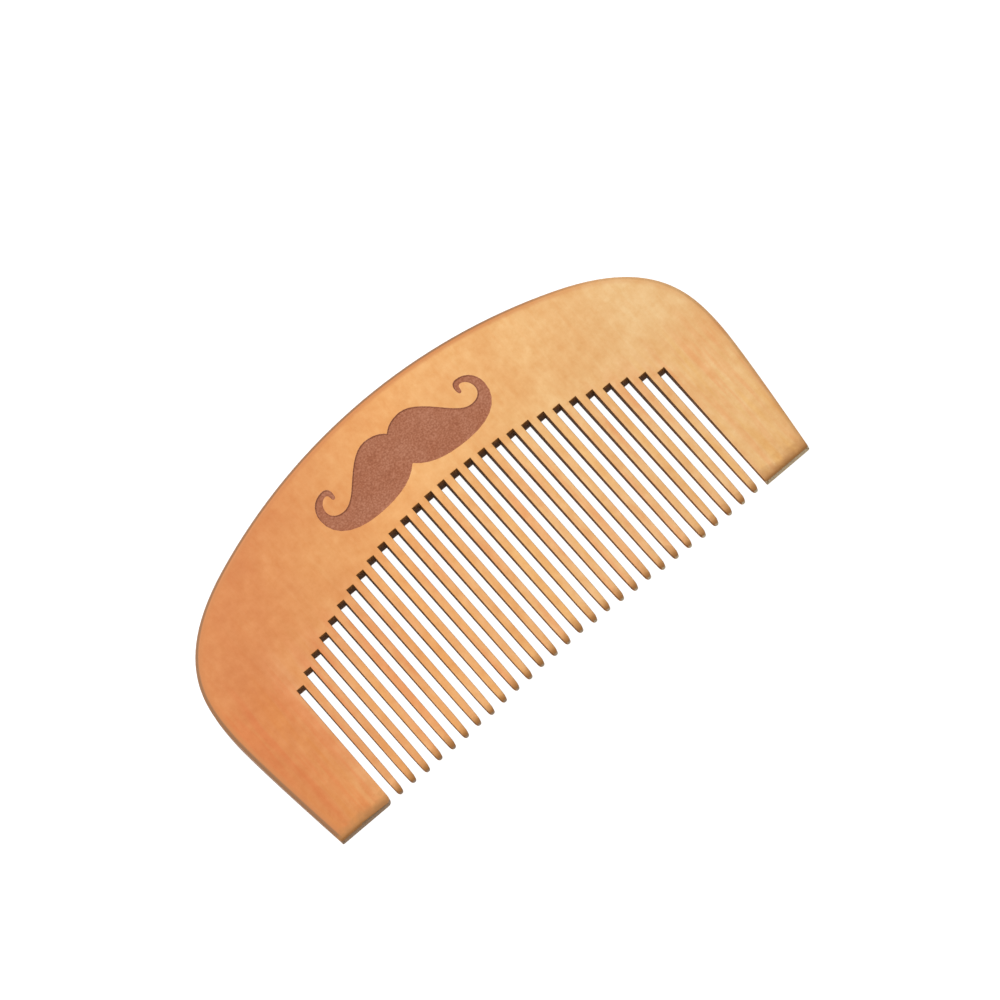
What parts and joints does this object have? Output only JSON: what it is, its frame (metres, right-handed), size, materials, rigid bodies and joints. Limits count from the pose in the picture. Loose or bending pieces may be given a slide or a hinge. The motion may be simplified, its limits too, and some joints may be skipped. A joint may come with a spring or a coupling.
{
  "type": "beard comb",
  "caption": "Half-moon wooden comb with an arched spine, straight sawn teeth, wide end guards and an engraved moustache.",
  "frame": {"origin": "centre of the rectangle that the comb covers on its plain back face", "axes": "+X along the comb, to the right when the engraved face is seen with the teeth pointing down; +Y from the tooth tips to the arched spine; +Z out of the engraved face"},
  "size_m": [0.12, 0.0622, 0.0071],
  "materials": {
    "sanded_wood": "sanded and lightly oiled, satin"
  },
  "bodies": {
    "root": {"spine": "sanded_wood", "guard_left": "sanded_wood", "guard_right": "sanded_wood", "tooth_01": "sanded_wood", "tooth_02": "sanded_wood", "tooth_03": "sanded_wood", "tooth_04": "sanded_wood", "tooth_05": "sanded_wood", "tooth_06": "sanded_wood", "tooth_07": "sanded_wood", "tooth_08": "sanded_wood", "tooth_09": "sanded_wood", "tooth_10": "sanded_wood", "tooth_11": "sanded_wood", "tooth_12": "sanded_wood", "tooth_13": "sanded_wood", "tooth_14": "sanded_wood", "tooth_15": "sanded_wood", "tooth_16": "sanded_wood", "tooth_17": "sanded_wood", "tooth_18": "sanded_wood", "tooth_19": "sanded_wood", "tooth_20": "sanded_wood", "tooth_21": "sanded_wood", "tooth_22": "sanded_wood", "tooth_23": "sanded_wood", "tooth_24": "sanded_wood", "tooth_25": "sanded_wood", "tooth_26": "sanded_wood", "tooth_27": "sanded_wood", "tooth_28": "sanded_wood"}
  },
  "joints": []
}
